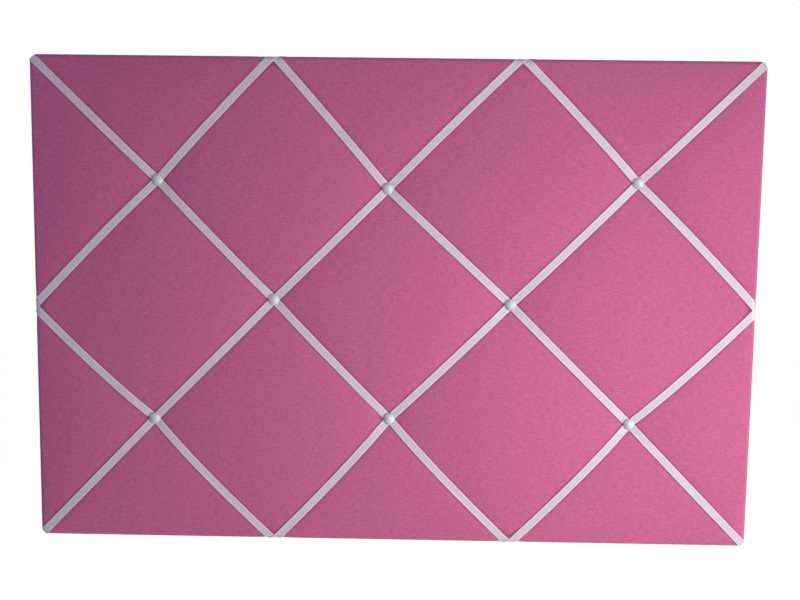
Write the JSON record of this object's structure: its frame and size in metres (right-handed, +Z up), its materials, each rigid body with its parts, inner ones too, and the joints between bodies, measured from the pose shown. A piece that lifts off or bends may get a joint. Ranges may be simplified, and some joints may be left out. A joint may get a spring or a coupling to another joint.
{
  "type": "french memo board",
  "caption": "Padded cloth-covered wall board with a diamond lattice of ribbon held by dome studs, for tucking in cards and photos; hangs on hinged D rings.",
  "frame": {"origin": "middle of the backing card's rear face, which faces the wall", "axes": "+Z up the board, +X to the viewer's right, +Y into the wall; the padded front faces -Y"},
  "size_m": [0.6028, 0.0305, 0.4078],
  "materials": {
    "fibreboard": "bare fibreboard",
    "wadding": "soft polyester wadding",
    "linen": "pink plain-weave linen",
    "hardboard": "smooth brown hardboard",
    "ribbon": "white satin",
    "pearl": "pearl lacquer",
    "staple": "zinc-plated wire",
    "hanger": "zinc-plated steel",
    "screw": "zinc-plated steel"
  },
  "bodies": {
    "board": {"base_board": "fibreboard", "wadding": "wadding", "cover_fabric": "linen", "backing_card": "hardboard", "ribbon_rise_1": "ribbon", "ribbon_rise_2": "ribbon", "ribbon_rise_3": "ribbon", "ribbon_rise_4": "ribbon", "ribbon_fall_1": "ribbon", "ribbon_fall_2": "ribbon", "ribbon_fall_3": "ribbon", "ribbon_fall_4": "ribbon", "stud_01": "pearl", "stud_02": "pearl", "stud_03": "pearl", "stud_04": "pearl", "stud_05": "pearl", "stud_06": "pearl", "stud_07": "pearl", "stud_08": "pearl", "ribbon_staple_01": "staple", "ribbon_staple_02": "staple", "ribbon_staple_03": "staple", "ribbon_staple_04": "staple", "ribbon_staple_05": "staple", "ribbon_staple_06": "staple", "ribbon_staple_07": "staple", "ribbon_staple_08": "staple", "ribbon_staple_09": "staple", "ribbon_staple_10": "staple", "ribbon_staple_11": "staple", "ribbon_staple_12": "staple", "ribbon_staple_13": "staple", "ribbon_staple_14": "staple", "ribbon_staple_15": "staple", "ribbon_staple_16": "staple", "card_staple_01": "staple", "card_staple_02": "staple", "card_staple_03": "staple", "card_staple_04": "staple", "card_staple_05": "staple", "card_staple_06": "staple", "card_staple_07": "staple", "card_staple_08": "staple", "card_staple_09": "staple", "card_staple_10": "staple", "hanger_strap_left": "hanger", "hanger_strap_right": "hanger", "hanger_screw_left": "screw", "hanger_screw_right": "screw"},
    "ring_left": {"hanger_ring_left": "hanger"},
    "ring_right": {"hanger_ring_right": "hanger"}
  },
  "joints": [
    {"name": "ring_left_hinge", "type": "hinge", "parent": "board", "child": "ring_left", "pos_m": [-0.19, 0.0026, 0.1375], "axis": [1, 0, 0], "range_deg": [0, 170]},
    {"name": "ring_right_hinge", "type": "hinge", "parent": "board", "child": "ring_right", "pos_m": [0.19, 0.0026, 0.1375], "axis": [1, 0, 0], "range_deg": [0, 170]}
  ]
}
